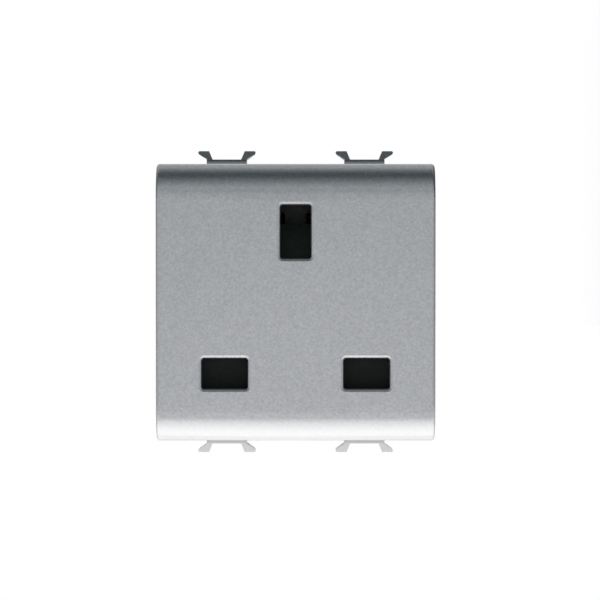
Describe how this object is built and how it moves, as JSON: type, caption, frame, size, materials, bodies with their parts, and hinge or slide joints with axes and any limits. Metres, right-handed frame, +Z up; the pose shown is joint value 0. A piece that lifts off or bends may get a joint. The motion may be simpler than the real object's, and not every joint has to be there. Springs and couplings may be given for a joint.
{
  "type": "british socket module",
  "caption": "British three-pin socket module with shuttered slots in a satin titanium-grey face, horned clip lugs for a support frame and rising-cage terminals at the rear.",
  "frame": {"origin": "middle of the plane in which the rim of the cover rests on the support frame", "axes": "+X to the right seen from the front, +Y back into the wall, +Z up towards the earth slot"},
  "size_m": [0.0438, 0.0391, 0.0486],
  "materials": {
    "titanium_paint": "satin metallic lacquer on moulded plastic",
    "black_plastic": "fine satin moulded",
    "contact_brass": "bright rolled strip",
    "zinc_steel": "zinc plated",
    "black_steel": "black phosphated",
    "spring_steel": "drawn wire and rolled strip"
  },
  "bodies": {
    "socket": {"front_cover": "titanium_paint", "shutter_plate": "black_plastic", "base_housing": "black_plastic", "shutter_spring": "spring_steel", "line_contact": "contact_brass", "line_grip_spring": "spring_steel", "neutral_contact": "contact_brass", "neutral_grip_spring": "spring_steel", "earth_contact": "contact_brass", "earth_grip_spring": "spring_steel"},
    "shutter": {"shutter": "black_plastic"},
    "line_screw": {"line_screw": "zinc_steel"},
    "line_cage": {"line_cage": "black_steel"},
    "neutral_screw": {"neutral_screw": "zinc_steel"},
    "neutral_cage": {"neutral_cage": "black_steel"},
    "earth_screw": {"earth_screw": "zinc_steel"},
    "earth_cage": {"earth_cage": "black_steel"}
  },
  "joints": [
    {"name": "shutter_slide", "type": "slide", "parent": "socket", "child": "shutter", "axis": [0, 0, -1], "range_m": [0, 0.0054], "stiffness_N_per_m": 150, "springref_m": -0.006, "deforming": ["shutter_spring"]},
    {"name": "line_screw_turn", "type": "hinge", "parent": "socket", "child": "line_screw", "pos_m": [0.01111, 0.0235, -0.01415], "axis": [0, -1, 0], "range_deg": [0, 2101]},
    {"name": "line_cage_lift", "type": "slide", "parent": "socket", "child": "line_cage", "axis": [0, 1, 0], "range_m": [0, 0.0035]},
    {"name": "neutral_screw_turn", "type": "hinge", "parent": "socket", "child": "neutral_screw", "pos_m": [-0.01111, 0.0235, -0.01415], "axis": [0, -1, 0], "range_deg": [0, 2101]},
    {"name": "neutral_cage_lift", "type": "slide", "parent": "socket", "child": "neutral_cage", "axis": [0, 1, 0], "range_m": [0, 0.0035]},
    {"name": "earth_screw_turn", "type": "hinge", "parent": "socket", "child": "earth_screw", "pos_m": [0, 0.0235, 0.01415], "axis": [0, -1, 0], "range_deg": [0, 2101]},
    {"name": "earth_cage_lift", "type": "slide", "parent": "socket", "child": "earth_cage", "axis": [0, 1, 0], "range_m": [0, 0.0035]}
  ],
  "couplings": [
    {"joint": "line_screw_turn", "follows": "line_cage_lift", "rad_per_m": 10472},
    {"joint": "neutral_screw_turn", "follows": "neutral_cage_lift", "rad_per_m": 10472},
    {"joint": "earth_screw_turn", "follows": "earth_cage_lift", "rad_per_m": 10472}
  ]
}
